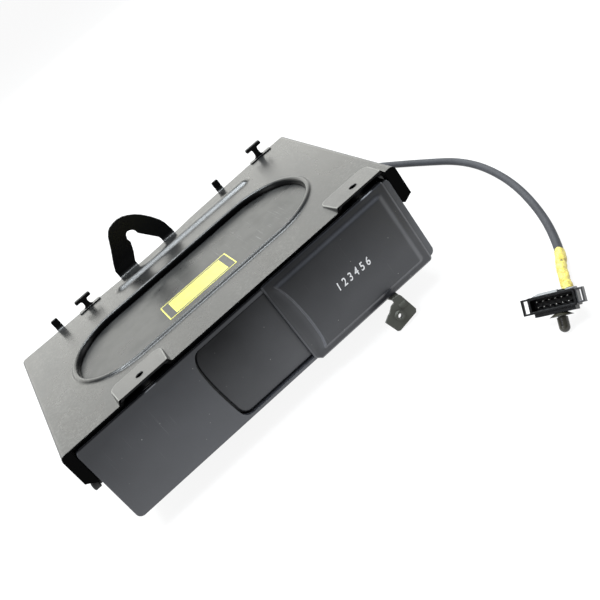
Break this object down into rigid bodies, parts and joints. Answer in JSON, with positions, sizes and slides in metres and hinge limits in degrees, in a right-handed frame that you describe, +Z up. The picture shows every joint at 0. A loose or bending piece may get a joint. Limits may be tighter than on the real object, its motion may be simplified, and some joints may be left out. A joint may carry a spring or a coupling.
{
  "type": "car cd changer",
  "caption": "Magazine-type disc changer for a car in a pressed steel bracket with an oval opening, a hook, a two-leaf sliding door and a short pigtail cable with a multi-way connector.",
  "frame": {"origin": "on the surface it stands on, under the middle of the bracket and changer without the free cable", "axes": "+X to the right seen from the front, +Y from the front door to the back, +Z up"},
  "size_m": [0.3536, 0.3756, 0.121],
  "materials": {
    "bracket_steel": "black electro-coat, semi-gloss",
    "zinc_steel": "zinc plated sheet",
    "lid_steel": "dark grey coated sheet, scuffed",
    "screw_steel": "black zinc",
    "front_plastic": "fine textured",
    "door_plastic": "fine textured",
    "black_plastic": "moulded",
    "tray_plastic": "moulded",
    "spring_steel": "drawn wire",
    "motor_steel": "plated",
    "soft_rubber": "matte",
    "board": "solder resist",
    "chip": "epoxy",
    "capacitor": "can",
    "lens": "clear, coated",
    "cable_jacket": "grey PVC",
    "yellow_tape": "crinkled tape",
    "label": "printed film",
    "connector_black": "moulded",
    "connector_grey": "moulded"
  },
  "bodies": {
    "changer": {"bracket_plate": "bracket_steel", "tee_posts": "black_plastic", "flange_spacers": "soft_rubber", "flange_screws": "screw_steel", "side_stud": "soft_rubber", "chassis_tub": "zinc_steel", "case_lid": "lid_steel", "lid_screws": "screw_steel", "lid_label": "label", "front_bezel": "front_plastic", "slot_fascia": "black_plastic", "button_guide": "zinc_steel", "lower_bracket": "bracket_steel", "bracket_screws": "screw_steel", "magazine_guide": "zinc_steel", "lever_post": "screw_steel", "guide_posts": "motor_steel", "cam_guides": "motor_steel", "elevator_motor": "motor_steel", "elevator_bearings": "zinc_steel", "feed_motor": "motor_steel", "feed_bearing": "zinc_steel", "main_board": "board", "board_standoffs": "screw_steel", "board_chips": "chip", "board_capacitors": "capacitor", "board_socket": "black_plastic", "cable_gland": "soft_rubber", "cable": "cable_jacket", "cable_tape": "yellow_tape", "connector_housing": "connector_black", "connector_lock": "connector_grey", "connector_latch": "connector_grey", "mount_peg": "connector_black"},
    "outer_leaf": {"outer_door": "door_plastic"},
    "inner_leaf": {"inner_door": "front_plastic"},
    "button": {"eject_button": "black_plastic", "button_spring": "spring_steel"},
    "magazine": {"magazine_case": "black_plastic"},
    "ejector": {"ejector_lever": "zinc_steel"},
    "deck": {"elevator_frame": "zinc_steel", "damper_bushes": "soft_rubber", "mech_plate": "zinc_steel", "spindle_motor": "motor_steel", "sled_rails": "motor_steel", "rail_holders": "black_plastic", "sled_motor": "motor_steel"},
    "cam": {"cam_slide": "zinc_steel"},
    "lift_screw": {"elevator_screw": "motor_steel"},
    "platter": {"turntable": "black_plastic"},
    "sled": {"pickup": "black_plastic", "pickup_lens": "lens"},
    "sled_drive": {"sled_screw": "motor_steel"},
    "roller": {"feed_roller": "soft_rubber"},
    "tray_body_1": {"tray_1": "tray_plastic"},
    "tray_body_2": {"tray_2": "tray_plastic"},
    "tray_body_3": {"tray_3": "tray_plastic"},
    "tray_body_4": {"tray_4": "tray_plastic"},
    "tray_body_5": {"tray_5": "tray_plastic"},
    "tray_body_6": {"tray_6": "tray_plastic"}
  },
  "joints": [
    {"name": "outer_door_slide", "type": "slide", "parent": "changer", "child": "outer_leaf", "axis": [-1, 0, 0], "range_m": [0, 0.146]},
    {"name": "inner_door_slide", "type": "slide", "parent": "changer", "child": "inner_leaf", "axis": [-1, 0, 0], "range_m": [0, 0.0595]},
    {"name": "magazine_slide", "type": "slide", "parent": "changer", "child": "magazine", "axis": [0, -1, 0], "range_m": [0, 0.004]},
    {"name": "ejector_swing", "type": "hinge", "parent": "changer", "child": "ejector", "pos_m": [0.0906, 0.0776, 0.0475], "axis": [0, 0, 1], "range_deg": [0, 6]},
    {"name": "button_press", "type": "slide", "parent": "changer", "child": "button", "axis": [0, 1, 0], "range_m": [0, 0.003], "stiffness_N_per_m": 250, "springref_m": -0.003, "deforming": ["button_spring"]},
    {"name": "deck_lift", "type": "slide", "parent": "changer", "child": "deck", "axis": [0, 0, 1], "range_m": [0, 0.029]},
    {"name": "cam_travel", "type": "slide", "parent": "changer", "child": "cam", "axis": [0, 1, 0], "range_m": [0, 0.0292]},
    {"name": "lift_screw_spin", "type": "hinge", "parent": "changer", "child": "lift_screw", "pos_m": [-0.1174, 0.0486, 0.073], "axis": [0, 1, 0], "range_deg": [0, 2640]},
    {"name": "platter_spin", "type": "hinge", "parent": "deck", "child": "platter", "pos_m": [-0.0554, -0.0054, 0.0305], "axis": [0, 0, 1], "continuous": true},
    {"name": "sled_slide", "type": "slide", "parent": "deck", "child": "sled", "axis": [0, 1, 0], "range_m": [0, 0.034]},
    {"name": "sled_screw_spin", "type": "hinge", "parent": "deck", "child": "sled_drive", "pos_m": [-0.0748, 0.0386, 0.0243], "axis": [0, 1, 0], "range_deg": [0, 4120]},
    {"name": "roller_spin", "type": "hinge", "parent": "changer", "child": "roller", "pos_m": [-0.0274, 0.065, 0.0505], "axis": [0, 0, 1], "continuous": true},
    {"name": "tray_1_slide", "type": "slide", "parent": "magazine", "child": "tray_body_1", "axis": [1, 0, 0], "range_m": [-0.101, 0]},
    {"name": "tray_2_slide", "type": "slide", "parent": "magazine", "child": "tray_body_2", "axis": [1, 0, 0], "range_m": [-0.101, 0]},
    {"name": "tray_3_slide", "type": "slide", "parent": "magazine", "child": "tray_body_3", "axis": [1, 0, 0], "range_m": [-0.101, 0]},
    {"name": "tray_4_slide", "type": "slide", "parent": "magazine", "child": "tray_body_4", "axis": [1, 0, 0], "range_m": [-0.101, 0]},
    {"name": "tray_5_slide", "type": "slide", "parent": "magazine", "child": "tray_body_5", "axis": [1, 0, 0], "range_m": [-0.101, 0]},
    {"name": "tray_6_slide", "type": "slide", "parent": "magazine", "child": "tray_body_6", "axis": [1, 0, 0], "range_m": [-0.101, 0]}
  ],
  "couplings": [
    {"joint": "inner_door_slide", "follows": "outer_door_slide", "ratio": 0.40411},
    {"joint": "ejector_swing", "follows": "magazine_slide", "rad_per_m": 23.809},
    {"joint": "cam_travel", "follows": "deck_lift", "ratio": 1},
    {"joint": "lift_screw_spin", "follows": "deck_lift", "rad_per_m": 1570.8},
    {"joint": "sled_screw_spin", "follows": "sled_slide", "rad_per_m": 2094.4}
  ]
}
